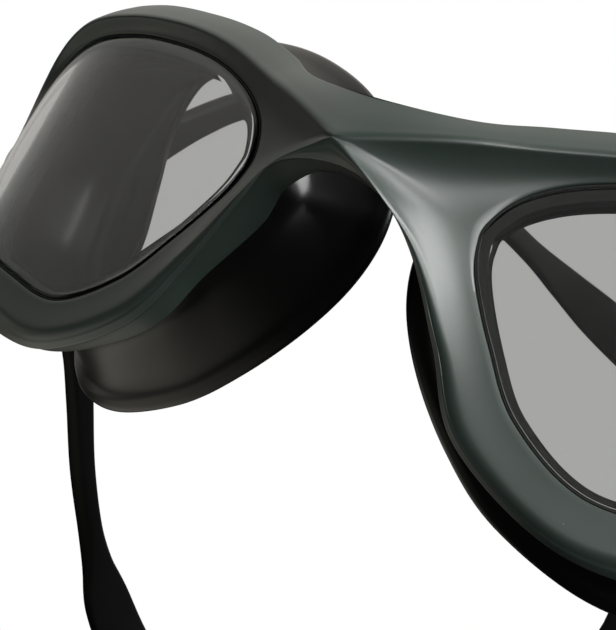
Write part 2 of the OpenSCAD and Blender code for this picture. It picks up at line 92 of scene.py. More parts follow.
def turnAt(u):
    k, h = face["knee"], face["soft"]
    bend = np.where(u < k - h, 0, np.where(u < k + h, (u - k + h) ** 2 / (4 * h), u - k))
    return wrap + bend / face["templeR"]


def onFace(loop):  # outward, up, ahead of the lens face, in mm, to metres in the shared frame
    q = np.asarray(loop, float)
    u, v, w = q[..., 0], q[..., 1], q[..., 2]
    k, h, r = face["knee"], face["soft"], face["templeR"]
    a = k - h
    b = np.clip(u, a, k + h)
    step = (b - a) / 4
    angles = [turnAt(a + step * i) for i in range(5)]
    end, here = angles[4], turnAt(u)
    past = u > k + h

    def along(f):
        return step / 3 * (f(angles[0]) + 4 * f(angles[1]) + 2 * f(angles[2]) + 4 * f(angles[3]) + f(angles[4]))
    x = face["eyeX"] + np.minimum(u, a) * math.cos(wrap) + along(np.cos)
    y = np.minimum(u, a) * math.sin(wrap) + along(np.sin)
    x = x + np.where(past, r * (np.sin(here) - np.sin(end)), 0) + w * np.sin(here)
    y = y + np.where(past, r * (np.cos(end) - np.cos(here)), 0) - w * np.cos(here)
    return np.stack([np.where(np.abs(x) < 1e-6, 0, x), y, v], -1) * mm


def atEye(loop):  # the same in the flat frame of one eye
    q = np.asarray(loop, float)
    u, v, w = q[..., 0], q[..., 1], q[..., 2]
    x = face["eyeX"] + u * math.cos(wrap) + w * math.sin(wrap)
    y = u * math.sin(wrap) - w * math.cos(wrap)
    return np.stack([x, y, v], -1) * mm


def curveThrough(points, steps, closed, level=False):  # level: the ends meet their mirror image without a corner
    p = np.asarray(points, float)
    n = len(p)
    out = []
    before, after = 2 * p[0] - p[1], 2 * p[-1] - p[-2]
    if level:
        tilt = np.array([0, 2 * math.tan(wrap)])
        before[1:] = p[1][1:] - tilt * (p[1][0] - p[0][0])
        after[1:] = p[-2][1:] - tilt * (p[-2][0] - p[-1][0])
    for i in range(n if closed else n - 1):
        a = p[i - 1] if closed or i > 0 else before
        b, c = p[i], p[(i + 1) % n]
        d = p[(i + 2) % n] if closed or i < n - 2 else after
        for j in range(steps):
            t = j / steps
            out.append(0.5 * (2 * b + (c - a) * t + (2 * a - 5 * b + 4 * c - d) * t ** 2
                              + (3 * b - a - 3 * c + d) * t ** 3))
    if not closed:
        out.append(p[-1])
    return np.array(out)


def unit(vectors):
    return vectors / np.linalg.norm(vectors, axis=1)[:, None]


def outset(line, distance):  # a closed line moved outwards, in its own plane
    tangent = unit(np.roll(line, -1, 0) - np.roll(line, 1, 0))
    return line + np.stack([-tangent[:, 1], tangent[:, 0]], 1) * distance


def smoothed(line, reach):  # each point averaged with its neighbours on both sides
    window = np.hanning(reach + 3)[1:-1]
    return np.column_stack([np.convolve(line[:, k], window / window.sum(), "same") for k in range(3)])


def withDepth(line, w):
    return np.column_stack([line, np.broadcast_to(w, len(line))])


def sideName(side):
    return "left" if side > 0 else "right"


def makeMesh(name, points, faces, sharpAngle=40):
    mesh = bpy.data.meshes.new(name)
    mesh.from_pydata([tuple(p) for p in points], [], [tuple(int(i) for i in f) for f in faces])
    mesh.validate()
    mesh.update()
    mesh.shade_smooth()
    mesh.set_sharp_from_angle(angle=math.radians(sharpAngle))
    obj = bpy.data.objects.new(name, mesh)
    bpy.context.scene.collection.objects.link(obj)
    return obj


def strip(a, b, n, shutA=True, shutB=True):  # quads between two loops that start at vertices a and b
    faces = []
    for i in range(n):
        nextA, nextB = ((i + 1) % n if shut else i + 1 for shut in (shutA, shutB))
        faces.append((a + i, b + i, b + nextB, a + nextA))
    return faces


def ringMesh(name, loops, side, **more):  # closed tube through loops that each run round the eye
    n, m = len(loops[0]), len(loops)
    points = np.concatenate(loops)
    faces = [f for k in range(m) for f in strip(k * n, (k + 1) % m * n, n)]
    if side < 0:
        points = points * (-1, 1, 1)
        faces = [f[::-1] for f in faces]
    return makeMesh(name, points, faces, **more)


def mirroredMesh(name, points, faces, sharpAngle):  # one half and its mirror image, joined on the centre plane
    total = len(points)
    faces = faces + [tuple(i if abs(points[i][0]) < 1e-7 else i + total for i in f[::-1]) for f in faces]
    return makeMesh(name, np.vstack([points, points * (-1, 1, 1)]), faces, sharpAngle)


def filletLoops(before, corner, after, radius, count):  # rounded corner between three loops, as a quadratic curve
    longest = 0.46  # share of the way to the next loop that the rounding may take

    def towards(other):
        d = other - corner
        length = np.linalg.norm(d, axis=1)[:, None]
        return corner + d * np.minimum(np.asarray(radius).reshape(-1, 1) / length, longest)
    start, end = towards(before), towards(after)
    return [(1 - s) ** 2 * start + 2 * s * (1 - s) * corner + s ** 2 * end for s in np.linspace(0, 1, count)]


def between(a, b, shares, bulge):  # loops between two loops, pushed out of the face in the middle
    return [a + (b - a) * s + np.array([0, 0, bulge]) * 4 * s * (1 - s) for s in shares]


# The lip round the lens, the crest of the rim, the corner and the crease below it, and the ledge under the lens
front = {"stationSteps": 14 if fine else 6, "rimDepth": 4.2, "ledge": 1.6, "ledgeDepth": 2.06, "ledgeBevel": 0.3,
         "lipRound": 0.22, "lipTop": 0.05, "lipShare": 0.02, "rise": 1.6, "follow": 3, "crestFrom": 0.62,
         "sideBulge": 0.12, "outerRound": 0.5, "rearRound": 0.45, "rearWall": 1.2, "wallMiddle": 0.55, "sharp": 38,
         "creaseStep": 0.22, "creaseTop": 0.25, "creaseLow": 0.45, "creaseWall": 1.6, "creaseFade": 1.2}
bridgeRise, browRise, rimDepth = 5.6, 2.0, front["rimDepth"]

# Lens outline from the nose over the brow to the temple and back below
lensPoints = [(-26.3, 2.6), (-23.9, 7), (-18.5, 11.2), (-10, 14.9), (0, 17.2), (11, 18.2), (22, 17),
              (30.5, 11.5), (33.5, 2), (30, -8), (20.5, -14.8), (8, -18.8), (-4, -20.9), (-14, -16.7), (-20, -10.3),
              (-24.6, -4.1), (-26.2, -0.4)]
# Front edge of the rim beside those points, with the roundness of the edge last
edgePoints = [(midU(bridgeRise), 2.6, bridgeRise, 1.2), (-33, 8, browRise + 3.1, 1.4),
              (-24.3, 11.6, browRise + 1.4, 1.2), (-12.5, 16.3, browRise + 0.2, 1.2), (-1, 19, browRise, 1.2),
              (11, 19.9, browRise, 1.4), (22.5, 18.6, browRise - 0.1, 1.6), (32, 12.8, browRise * 0.5, 2),
              (36, 2.5, 0, 2.6), (33, -10, -0.3, 3), (23, -18.5, 0, 3), (9.5, -22.9, 0.3, 2.8),
              (-4.4, -25.8, 0.4, 3), (-17.6, -20.7, 0.5, 3), (-24.6, -12.3, 1.1, 2.6), (-31.3, -4.8, 3.1, 1.8),
              (-38, -0.9, bridgeRise - 0.1, 1.5), (midU(bridgeRise), 2.6, bridgeRise, 1.2)]
# Corner between the face and the side wall: outward, up, ahead of the lens face
outerPoints = [(midU(1.6), 10.2, 1.6), (-32.2, 12.2, 1.9), (-24.3, 15.9, 0), (-14, 20, -1.2), (-2, 22.9, -2),
               (11.5, 24.3, -2), (25, 22.6, -1.8), (35.5, 15.5, -1.8), (39.2, 3, -2), (36, -11.5, -2),
               (25.3, -20.9, -1.8), (10.5, -25.4, -1.7), (-4.4, -27, -1.6), (-18.8, -21.5, -1), (-25.6, -12.8, 0.1),
               (-31.9, -5, 2.5), (-37.6, -1, bridgeRise - 0.8), (midU(3), 0.6, 3)]
# Rear edge of the side wall, likewise
rearPoints = [(midU(-1.5), 9.6, -1.5), (-32.8, 11.4, -3.4), (-24.5, 15.1, -rimDepth), (-13.8, 19.2, -rimDepth),
              (-2, 22.1, -rimDepth), (11.3, 23.5, -rimDepth), (24.5, 21.8, -rimDepth), (34.8, 15, -rimDepth),
              (38.4, 3, -rimDepth), (35.3, -11.2, -rimDepth), (24.8, -20.3, -rimDepth), (10.2, -24.6, -rimDepth),
              (-4.1, -25.9, -rimDepth), (-18.8, -20.7, -rimDepth), (-23.8, -12.3, -rimDepth), (-28.8, -4.7, -rimDepth),
              (-34, -0.9, -1.1), (midU(0.3), 0.9, 0.3)]

steps = front["stationSteps"]
lensLine = curveThrough(lensPoints, steps, True)
stations = len(lensLine)


def onCentre(loop):  # ends of an open loop put on the centre plane
    loop = loop.copy()
    for i in (0, -1):
        loop[i, 0] = midU(loop[i, 2])
    return loop


def acrossCentre(loop, reach, share):  # rounds a loop where it meets its mirror image on the centre plane
    mirrored = (-1, 1, 1)
    q = np.vstack([loop[1:reach + 1][::-1] * mirrored, loop, loop[-reach - 1:-1][::-1] * mirrored])
    soft = smoothed(q, reach)[reach:-reach]
    away = np.minimum(np.arange(len(loop)), np.arange(len(loop))[::-1]) / (1.5 * reach)
    return loop + (soft - loop) * (np.clip(1 - away, 0, 1) * share)[:, None]


def makeFront():
    n = stations
    lens = np.vstack([withDepth(lensLine, 0), withDepth(lensLine, 0)[:1]])
    edges = curveThrough(edgePoints, steps, False)
    crest, crestRound = edges[:, :3], edges[:, 3]
    outer = curveThrough(outerPoints, steps, False, True)
    rear = curveThrough(rearPoints, steps, False, True)

    # The corner where the brow lines cross fades towards the lens
    soft = smoothed(np.vstack([crest[:-1]] * 3), 2 * steps)[n:2 * n + 1]
    inFace, ahead = np.array([1, 1, 0]), np.array([0, 0, 1])

    def faceAt(s):  # the face between lens and crest rises slowly at first
        edge = soft + (crest - soft) * s ** front["follow"]
        return lens + (edge - lens) * s * inFace + edge * ahead * s ** front["rise"]
    crestLoops = filletLoops(faceAt(front["crestFrom"]), crest, outer, crestRound, 9 if fine else 4)
    width = np.linalg.norm((crest - lens)[:, :2], axis=1)[:, None]
    reach = np.linalg.norm((crestLoops[0] - lens)[:, :2], axis=1)[:, None] / width
    faceShares = (0.08, 0.2, 0.36, 0.52, 0.68, 0.84, 1) if fine else (0.1, 0.4, 0.7, 1)
    faceLoops = [faceAt(reach * s) for s in faceShares]
    ledgeCorner = lens + (0, 0, -front["ledgeDepth"])
    lipLow = lens + (0, 0, -front["lipRound"])
    lipTop = lens + (faceAt(front["lipShare"]) - lens) * inFace - ahead * front["lipTop"]
    closed = [ledgeCorner, lipLow, lipTop] + faceLoops
    # The side wall steps in a little behind the crease, then runs down to the rear edge
    down, inward = unit(rear - outer), unit((lens - outer) * inFace)
    wall = np.linalg.norm(rear - outer, axis=1)[:, None]
    stepped = inward * (np.clip((wall - front["creaseWall"]) / front["creaseFade"], 0, 1) * front["creaseStep"])
    lower = outer + down * front["creaseTop"] + stepped
    outerLoops = filletLoops(crest, outer, lower, front["outerRound"], 5 if fine else 3)
    band = [outer + down * front["creaseLow"] + stepped, outer + (rear - outer) * front["wallMiddle"] + stepped]
    rearLoops = filletLoops(outer, rear, rear + inward, front["rearRound"], 4 if fine else 2)
    opened = crestLoops[1:] + between(crestLoops[-1], outerLoops[0], (0.2, 0.4, 0.6, 0.8), front["sideBulge"])
    opened += outerLoops + [lower] + band + rearLoops
    bevel, ledgeLine = front["ledgeBevel"], outset(lensLine, -front["ledge"])
    inner = [withDepth(outset(lensLine, front["rearWall"]), -rimDepth),
             withDepth(outset(lensLine, bevel - front["ledge"]), -rimDepth),
             withDepth(ledgeLine, bevel - rimDepth), withDepth(ledgeLine, -front["ledgeDepth"])]
    closedCount, openCount = len(closed), len(opened)
    opened = [onFace(onCentre(q)) for q in opened]
    # The nose bridge is rounded across the centre plane, little at the face and fully from the crest outwards
    firstRounded, roundedEnd, crestCount = 3, len(crestLoops) + 6, len(crestLoops) - 1
    for k in range(firstRounded, roundedEnd):
        opened[k] = acrossCentre(opened[k], steps, min(1, (k - firstRounded + 1) / crestCount))
    points = np.concatenate([onFace(q[:n]) for q in closed] + opened + [onFace(q) for q in inner])
    faces = []
    for k in range(closedCount - 1):
        faces += strip(k * n, (k + 1) * n, n)
    last, first = (closedCount - 1) * n, closedCount * n
    faces += strip(last, first, n, True, False) + [(last, first + n, first)]
    for k in range(openCount - 1):
        faces += strip(first + k * (n + 1), first + (k + 1) * (n + 1), n, False, False)
    last = first + (openCount - 1) * (n + 1)
    back = first + openCount * (n + 1)
    faces += strip(last, back, n, False, True) + [(last + n, back, last)]
    for k in range(len(inner) - 1):
        faces += strip(back + k * n, back + (k + 1) * n, n)
    faces += strip(back + (len(inner) - 1) * n, 0, n)
    return mirroredMesh("frontShell", points, [f[::-1] for f in faces], front["sharp"])


frontShell = makeFront()

ear = {"x": 68.397, "thickness": 3, "round": 0.5, "radius": 6, "pivotY": 25.996, "pivotZ": 2, "frontY": 19.9,
       "halfHeight": 7.4, "bore": 2.05, "boreFlare": 0.1, "boreDepth": 0.25}
bevelShare = 0.3  # how far the middle loop of a rounded edge stands off, as a share of its radius


def makeEar(side):
    count = 96 if fine else 48
    turns = np.linspace(0, 2 * math.pi, count, endpoint=False)
    centre = np.array([ear["pivotY"], ear["pivotZ"]])
    outline = []
    for a in turns:  # round at the pivot, straight sides that open towards the rim
        d = np.array([math.cos(a), math.sin(a)])
        reach = ear["radius"]
        if d[0] < 0:
            toSide = ear["halfHeight"] / max(abs(d[1]), 1e-6)
            toRim = (ear["pivotY"] - ear["frontY"]) / max(-d[0], 1e-6)
            reach = max(ear["radius"], min(toSide, toRim))
        outline.append(centre + d * reach)
    outline = np.array(outline)
    inward = unit(outline - centre) * ear["round"]
    hole = centre + np.column_stack([np.cos(turns), np.sin(turns)]) * ear["bore"]
    near, far, r = ear["x"], ear["x"] + ear["thickness"], ear["round"]

    def level(line, x):
        return np.column_stack([np.full(count, x), line]) * mm
    rounded, off = outline - inward * bevelShare, r * bevelShare
    loops = [level(hole, near), level(outline - inward, near), level(rounded, near + off), level(outline, near + r),
             level(outline, far - r), level(rounded, far - off), level(outline - inward, far),
             level(hole + (hole - centre) * ear["boreFlare"], far), level(hole, far - ear["boreDepth"])]
    return ringMesh(sideName(side) + "Ear", loops[::-1], side)


ears = [makeEar(1), makeEar(-1)]
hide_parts("front_frame")
for piece in [frontShell] + ears:
    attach(piece, "front")
print("front frame made")


lens = {"thickness": 2.0, "gap": 0.05, "edgeRound": 0.2, "innermost": 0.06, "sealWidth": 0.28, "sealBelow": 0.2,
        "sealRound": 0.1, "seat": 0.3, "retainerDepth": 2.0, "retainerWall": 1.0, "retainerBevel": 0.2}
lensMid = np.array([2.0, -1.0])
retainerBack = -rimDepth - lens["gap"] - lens["retainerDepth"]


def makeLens(side):
    name = sideName(side)
    r, t = lens["edgeRound"], lens["thickness"]
    edge = outset(lensLine, -lens["sealWidth"] - 2 * lens["gap"])
    inside = outset(edge, -r)
    shares = np.linspace(1, lens["innermost"], 14 if fine else 7)

    def disc(w):
        return [withDepth(lensMid + (inside - lensMid) * s, w) for s in shares]
    rounded, off = edge - (edge - inside) * bevelShare, r * bevelShare
    rim = [withDepth(rounded, -t + off), withDepth(edge, -t + r), withDepth(edge, -r), withDepth(rounded, -off)]
    loops = disc(-t)[::-1] + rim + disc(0)
    n, m = stations, len(loops)
    points = np.concatenate([onFace(q) for q in loops] + [onFace([[*lensMid, -t]]), onFace([[*lensMid, 0]])])
    faces = [f for k in range(m - 1) for f in strip(k * n, (k + 1) * n, n)]
    faces += [(i, (i + 1) % n, m * n) for i in range(n)]
    faces += [((m - 1) * n + (i + 1) % n, (m - 1) * n + i, m * n + 1) for i in range(n)]
    if side < 0:
        points, faces = points * (-1, 1, 1), [f[::-1] for f in faces]
    obj = makeMesh(name + "Lens", points, faces)
    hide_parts(name + "_lens")
    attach(obj, "front")
    return obj


def makeSeal(side):
    name = sideName(side)
    a, b = outset(lensLine, -lens["gap"]), outset(lensLine, -lens["gap"] - lens["sealWidth"])
    top, low, shoulder = -lens["sealBelow"], -lens["thickness"], -lens["sealBelow"] - lens["sealRound"]
    loops = [withDepth(b, low), withDepth(b, shoulder), withDepth(b + (a - b) * 0.25, top),
             withDepth(a + (b - a) * 0.25, top), withDepth(a, shoulder), withDepth(a, low)]
    obj = ringMesh(name + "LensSeal", [onFace(q) for q in loops[::-1]], side)
    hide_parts(name + "_lens_seal")
    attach(obj, "front")
    return obj


def makeRetainer(side):
    name = sideName(side)
    a, b = outset(lensLine, -lens["seat"]), outset(lensLine, -lens["seat"] - lens["retainerWall"])
    top, low, bevel = -rimDepth - lens["gap"], retainerBack, lens["retainerBevel"]
    bevelled = b + (a - b) * bevel
    loops = [withDepth(b, low + bevel), withDepth(b, top - bevel), withDepth(bevelled, top), withDepth(a, top),
             withDepth(a, low), withDepth(bevelled, low)]
    obj = ringMesh(name + "CupRetainer", [onFace(q) for q in loops[::-1]], side)
    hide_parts(name + "_cup_retainer")
    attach(obj, "front")
    return obj


lenses = [makeLens(s) for s in (1, -1)]
seals = [makeSeal(s) for s in (1, -1)]
retainers = [makeRetainer(s) for s in (1, -1)]
print("lenses made")


cup = {"depth": 16.6, "wall": 1.3, "lip": 1.8, "bow": 0.0026, "templeBow": 0.0066, "lean": 0.09, "tilt": 0.1,
       "neckLength": 1.2, "throatIn": 0.9, "throatLength": 1.6, "innerRound": 0.35, "sharp": 50}
flangePoints = [(-34.7, 3.5), (-32.2, 11.2), (-24.8, 18.6), (-14.8, 23.3), (-3, 26.2), (9.5, 27), (22.5, 24.2),
                (30, 15), (32, 3), (28.5, -9.5), (20.3, -19.5), (11, -25.3), (0, -27.1), (-12.6, -24.2),
                (-21.2, -18.9), (-28.7, -11.6), (-33.4, -4.1)]
# Inner edge of the flange: narrow at the brow, wide at the temple
innerPoints = [(-29, 2.5), (-26, 8.3), (-19.5, 13.8), (-11.3, 18.2), (-2, 21.2), (8.5, 22.2), (16.8, 20.6), (18.8, 14),
               (15.3, 5.5), (12, -3), (11.5, -11), (6, -18), (-1, -20.6), (-10, -18.3), (-16.2, -14.5), (-22.8, -8.5),
               (-27.6, -2.8)]
flangeLine, innerLine = curveThrough(flangePoints, steps, True), curveThrough(innerPoints, steps, True)


def flangeAt(p, behind):
    u, v = p[:, 0], p[:, 1]
    bow = np.where(u > 0, cup["templeBow"], cup["bow"]) * u * u
    return atEye(withDepth(p, -cup["depth"] - bow - cup["lean"] * u + cup["tilt"] * v - behind))


def makeCup(side):
    name = sideName(side)
    gap, t = lens["gap"], cup["lip"]
    frontW, groove = -rimDepth - gap, retainerBack - gap
    neckOut, neckIn = outset(lensLine, cup["wall"] + gap - lens["seat"]), outset(lensLine, gap - lens["seat"])
    neck = onFace(withDepth(neckOut, groove - cup["neckLength"]))
    throatLine = outset(lensLine, -cup["throatIn"])
    throat = onFace(withDepth(throatLine, groove - cup["throatLength"]))

    def flange(distance, behind):
        return flangeAt(outset(flangeLine, distance), behind)
    # From the neck to the flange, round the flange's edge, and over its inner edge back to the throat
    outside = [onFace(withDepth(neckOut, frontW)), neck, neck * 0.45 + flange(-5, -4.4) * 0.55,
               flange(-2.8, -2.4), flange(-1, -1.25)]
    edge = [flange(-0.3, -t * 0.42), flange(-0.02, -t * 0.2), flange(-0.02, 0.05), flange(-0.5, t * 0.33),
            flange(-2, t * 0.5)]
    inside = [flangeAt(innerLine, t * 0.3), flangeAt(outset(innerLine, -cup["innerRound"]), 0),
              flangeAt(innerLine, -t * 0.3), flangeAt(innerLine, -t * 0.8) * 0.2 + flange(-5.2, -t * 0.8) * 0.8,
              throat * 0.4 + flange(-6.6, -3.6) * 0.6, throat]
    k = 5 if fine else 2
    smooth = list(curveThrough(outside + edge[:1], k, False))[:-1] + edge + list(curveThrough(inside, k, False))
    hidden = [onFace(withDepth(line, w)) for line, w in ((throatLine, groove), (neckIn, groove), (neckIn, frontW))]
    obj = ringMesh(name + "EyeCup", (smooth + hidden)[::-1], side, sharpAngle=cup["sharp"])
    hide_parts(name + "_eye_cup")
    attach(obj, "front")
    return obj


cups = [makeCup(s) for s in (1, -1)]
print("eye cups made")


strap = {"x": 74.747, "thickness": 2, "neck": 3, "start": 39.996, "straight": 50, "back": 150, "tongue": 11.6,
         "tip": 33.696, "pivotZ": 2, "slitEnd": 9, "slitHeight": 31, "backTop": 42.5, "backLow": -7,
         "roundOfThickness": 0.42, "roundOfWidth": 0.4, "sharp": 50}
st, sn = strap["thickness"], strap["neck"]  # used in the tables below
bendY = strap["start"] + strap["straight"]
# Behind the straight part the loop is half an ellipse; its length is counted per quarter
halfX, loopDepth = strap["x"], strap["back"] - bendY
quarter = math.pi / 4 * (3 * (halfX + loopDepth) - math.sqrt((3 * halfX + loopDepth) * (halfX + 3 * loopDepth)))
loopLength = strap["straight"] + quarter

# Middle lines of the strands from the clip to the back: along, up, width, thickness
upperPoints = [(6, 12.6, 8, st), (12, 21, 6.4, 2.2), (20, 31, 5.2, 2.8), (29, 39.5, 4.6, sn), (45, 49.5, 4.4, sn),
               (65, 56, 4.4, sn), (84, 58, 4.4, sn), (98, 56.4, 4.4, sn), (108, 53.8, 4.6, 2.8), (116, 51.2, 6.6, st),
               (124, 48.3, 8.6, st), (133, 45, 9.6, st), (142, 41.5, 10, st)]
lowerPoints = [(9.5, -6.8, 7.4, st), (18, -12.3, 6, 2.2), (25.5, -18.7, 5, 2.8), (35, -27, 4.5, sn),
               (45.5, -34.4, 4.4, sn), (52.5, -38.6, 6.2, 2.4), (60.5, -43, 9.2, st), (78, -51, 9.8, st),
               (102, -54.6, 9.8, st), (119, -53.6, 9.8, st), (133, -46.5, 9.8, st), (143, -35, 9.8, st),
               (149.6, -20, 9.4, st), (151.4, -5, 9, st)]


def onLoop(s, z, x):  # along, up, out from the middle of the strap, in mm, to metres
    if s >= loopLength - 1e-6:
        return (0, (strap["back"] + x) * mm, z * mm)
    if s <= strap["straight"]:
        return ((halfX + x) * mm, (strap["start"] + s) * mm, z * mm)
    a = (s - strap["straight"]) / quarter * math.pi / 2
    nx, ny = math.cos(a) / halfX, math.sin(a) / loopDepth
    m = math.hypot(nx, ny)
    return ((halfX * math.cos(a) + x * nx / m) * mm, (bendY + loopDepth * math.sin(a) + x * ny / m) * mm, z * mm)


def strandRows(points, sign):  # rows across a strand: its slit edge, its outer edge, its thickness
    rows = []
    for i, p in enumerate(points):
        a, b = points[max(i - 1, 0)], points[min(i + 1, len(points) - 1)]
        t = b[:2] - a[:2]
        d = np.array([-t[1], t[0]]) / np.linalg.norm(t) * p[2] / 2 * sign
        rows.append((*(p[:2] - d), *(p[:2] + d), p[3]))
    return rows


def makeStrap():
    k = 8 if fine else 4
    z, half = strap["pivotZ"], strap["tongue"] / 2
    tip = strap["tip"] - strap["start"]
    upper = strandRows(curveThrough(upperPoints, k, False), 1)[::-1]
    lower = strandRows(curveThrough(lowerPoints, k, False), -1)
    slitEnd = (loopLength - strap["slitEnd"], strap["slitHeight"])
    # Round the tongue, from the upper strand's root to the lower one's: slit edge, outer edge, thickness
    tongue = [(6.3, 5.2, 2.4, z + half + 1.6, st), (5.6, 4, 0, z + half, st), (5.3, 3.4, tip + 0.8, z + half, st),
              (5.25, 3.2, tip, z + half - 0.8, st), (5.1, 2.6, tip, z, st), (5.25, 2, tip, z - half + 0.8, st),
              (5.3, 1.8, tip + 0.8, z - half, st), (5.6, 1.2, 0, z - half, st), (6.4, 0, 2.6, z - half - 0.9, st)]
    rows = [(*slitEnd, loopLength, strap["backTop"], st)] + upper + tongue + lower
    rows = np.array(rows + [(*slitEnd, loopLength, strap["backLow"], st)])
    n = len(rows) - 1
    turns = np.linspace(0, math.pi / 2, 4 if fine else 3)  # roundness of the strap's edges

    def profile(i):  # the points round the slit edge and round the outer edge, each with its height
        a, b, t = rows[i][:2], rows[i][2:4], rows[i][4]
        width = np.linalg.norm(b - a)
        cut = min(t * strap["roundOfThickness"], width * strap["roundOfWidth"])
        along = (b - a) / width
        outA = np.array([-1.0, 0]) if i in (0, n) else -along
        outB = np.array([0, 1.0]) if i == 0 else np.array([0, -1.0]) if i == n else along

        def rounded(end, out):
            upper = [(end - out * cut * (1 - math.sin(q)), t / 2 - cut * (1 - math.cos(q))) for q in turns]
            return upper + [(p, -h) for p, h in upper[::-1][1:]]
        return rounded(a, outA), rounded(b, outB)

    profiles = [profile(i) for i in range(n + 1)]
    m = len(profiles[0][0])

    def loopsOf(edge, count):  # edge 0 at the slit, where the last row ends on the first, and 1 outside
        return [onLoop(*profiles[i][edge][j][0], profiles[i][edge][j][1]) for j in range(m) for i in range(count)]
    points = np.array(loopsOf(0, n) + loopsOf(1, n + 1))
    r, q = m * n, n + 1
    faces = [f for j in range(m - 1) for f in strip((j + 1) * n, j * n, n)]
    faces += strip(0, r, n, True, False) + [(r + n, r, 0)]
    faces += [f for j in range(m - 1) for f in strip(r + j * q, r + (j + 1) * q, n, False, False)]
    low = r + (m - 1) * q
    faces += strip(low, (m - 1) * n, n, False, True) + [((m - 1) * n, low, low + n)]
    obj = mirroredMesh("headStrap", points, faces, strap["sharp"])
    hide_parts("head_strap")
    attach(obj, "left_clip")
    return obj


headStrap = makeStrap()
print("head strap made")


def newGroup(name, inputs, outputs):
    group = bpy.data.node_groups.new(name, "ShaderNodeTree")
    for label, kind, value in inputs:
        socket = group.interface.new_socket(label, in_out="INPUT", socket_type=kind)
        socket.default_value = value
    for label, kind in outputs:
        group.interface.new_socket(label, in_out="OUTPUT", socket_type=kind)
    return group, group.nodes.new("NodeGroupInput"), group.nodes.new("NodeGroupOutput")


def mathNode(tree, operation, a, b, clamp=False):
    node = tree.nodes.new("ShaderNodeMath")
    node.operation, node.use_clamp = operation, clamp
    for i, v in enumerate((a, b)):
        if isinstance(v, (int, float)):
            node.inputs[i].default_value = v
        else:
            tree.links.new(v, node.inputs[i])
    return node.outputs[0]


def makeGrainGroup():  # fine moulded grain with a slow waviness, as a height and a colour mask
    group, gin, gout = newGroup("fineGrain", [("Size", "NodeSocketFloat", 0.2), ("Waviness", "NodeSocketFloat", 0.3)],
                                [("Height", "NodeSocketFloat"), ("Variation", "NodeSocketFloat")])
    coords = group.nodes.new("ShaderNodeTexCoord")
    scale = mathNode(group, "DIVIDE", 1000.0, gin.outputs["Size"])
    grain = group.nodes.new("ShaderNodeTexNoise")
    grain.inputs["Detail"].default_value = 3
    grain.inputs["Roughness"].default_value = 0.6
    slow = group.nodes.new("ShaderNodeTexNoise")
    slow.inputs["Scale"].default_value = 90
    slow.inputs["Detail"].default_value = 4
    group.links.new(coords.outputs["Object"], grain.inputs["Vector"])
    group.links.new(coords.outputs["Object"], slow.inputs["Vector"])
    group.links.new(scale, grain.inputs["Scale"])
    waves = mathNode(group, "MULTIPLY", slow.outputs["Fac"], gin.outputs["Waviness"])
    group.links.new(mathNode(group, "ADD", grain.outputs["Fac"], waves), gout.inputs["Height"])
    group.links.new(slow.outputs["Fac"], gout.inputs["Variation"])
    return group


def makeSpeckGroup():  # sparse dust specks
    group, gin, gout = newGroup("dustSpecks", [("Spacing", "NodeSocketFloat", 2.0), ("Radius", "NodeSocketFloat", 0.05),
                                               ("Share", "NodeSocketFloat", 0.2)], [("Mask", "NodeSocketFloat")])
    coords = group.nodes.new("ShaderNodeTexCoord")
    cells = group.nodes.new("ShaderNodeTexVoronoi")
    group.links.new(coords.outputs["Object"], cells.inputs["Vector"])
    group.links.new(mathNode(group, "DIVIDE", 1000.0, gin.outputs["Spacing"]), cells.inputs["Scale"])
    split = group.nodes.new("ShaderNodeSeparateColor")
    group.links.new(cells.outputs["Color"], split.inputs["Color"])
    chosen = mathNode(group, "LESS_THAN", split.outputs[0], gin.outputs["Share"])
    size = mathNode(group, "MULTIPLY", gin.outputs["Radius"], mathNode(group, "ADD", split.outputs[1], 0.4))
    near = mathNode(group, "LESS_THAN", cells.outputs["Distance"], size)
    group.links.new(mathNode(group, "MULTIPLY", near, chosen), gout.inputs["Mask"])
    return group


scuff = {"turn": (0.4, 0.7, 0.9), "stretch": (1, 14, 14), "above": 0.68, "contrast": 8.0}


def makeScuffGroup():  # short hair-fine scuffs
    group, gin, gout = newGroup("fineScuffs", [("Length", "NodeSocketFloat", 6.0), ("Amount", "NodeSocketFloat", 0.3)],
                                [("Mask", "NodeSocketFloat")])
    coords = group.nodes.new("ShaderNodeTexCoord")
    stretch = group.nodes.new("ShaderNodeMapping")
    stretch.inputs["Rotation"].default_value = scuff["turn"]
    stretch.inputs["Scale"].default_value = scuff["stretch"]
    noise = group.nodes.new("ShaderNodeTexNoise")
    noise.inputs["Detail"].default_value = 2
    group.links.new(coords.outputs["Object"], stretch.inputs["Vector"])
    group.links.new(stretch.outputs["Vector"], noise.inputs["Vector"])
    group.links.new(mathNode(group, "DIVIDE", 1000.0, gin.outputs["Length"]), noise.inputs["Scale"])
    peaks = mathNode(group, "SUBTRACT", noise.outputs["Fac"], scuff["above"])
    lines = mathNode(group, "MULTIPLY", peaks, scuff["contrast"], True)
    group.links.new(mathNode(group, "MULTIPLY", lines, gin.outputs["Amount"]), gout.inputs["Mask"])
    return group


grainGroup, speckGroup, scuffGroup = makeGrainGroup(), makeSpeckGroup(), makeScuffGroup()


def newMaterial(name):
    mat = bpy.data.materials.new(name)
    mat.use_nodes = True
    tree = mat.node_tree
    return mat, tree, tree.nodes["Principled BSDF"]


def useGroup(tree, group, **values):
    node = tree.nodes.new("ShaderNodeGroup")
    node.node_tree = group
    for k, v in values.items():
        node.inputs[k].default_value = v
    return node


def mixColour(tree, mask, low, high):
    node = tree.nodes.new("ShaderNodeMix")
    node.data_type = "RGBA"
    tree.links.new(mask, node.inputs["Factor"])
    for socket, v in ((node.inputs["A"], low), (node.inputs["B"], high)):
        if isinstance(v, tuple):
            socket.default_value = (*v, 1)
        else:
            tree.links.new(v, socket)
    return node.outputs["Result"]


